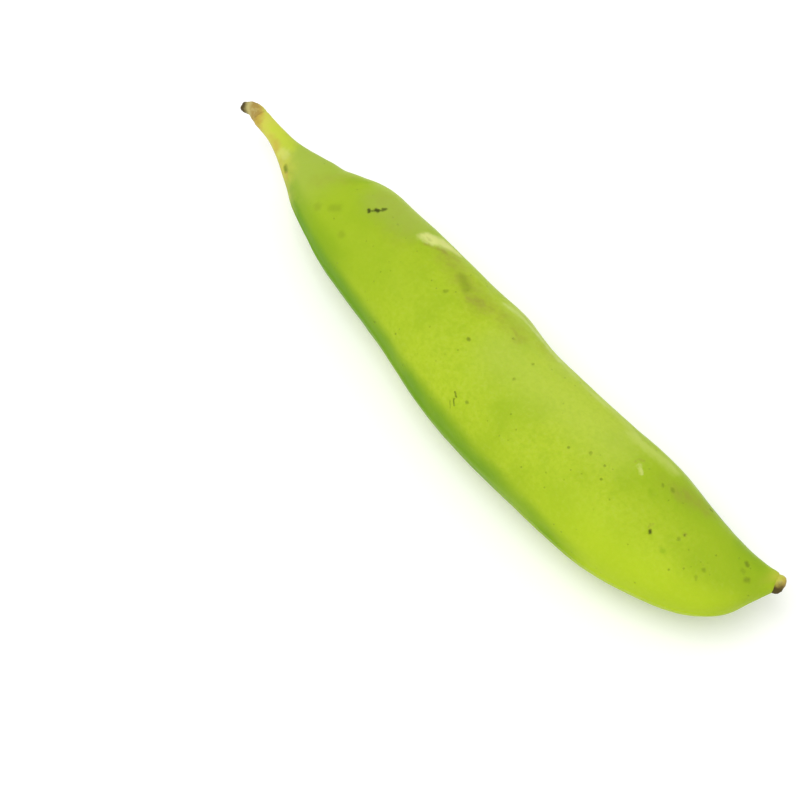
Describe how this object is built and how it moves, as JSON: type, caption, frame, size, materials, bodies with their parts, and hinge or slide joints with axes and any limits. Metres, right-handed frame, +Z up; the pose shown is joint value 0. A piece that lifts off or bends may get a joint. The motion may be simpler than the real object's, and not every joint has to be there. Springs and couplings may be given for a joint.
{
  "type": "pea pod",
  "caption": "Plump green pea pod lying on its side, with a slim neck, a dried stalk end, a grooved suture and a short dried style at the tip.",
  "frame": {"origin": "middle of the bounding box's base, on the surface that the pod lies on", "axes": "+X from the stalk end to the tip, +Y from the dorsal to the ventral suture, +Z up through the two valves"},
  "size_m": [0.0923, 0.0199, 0.0129],
  "materials": {
    "pod_skin": "satin",
    "dried_stalk": "matte",
    "dried_style": "matte"
  },
  "bodies": {
    "root": {"pod": "pod_skin", "stalk_stub": "dried_stalk", "style_tip": "dried_style"}
  },
  "joints": []
}
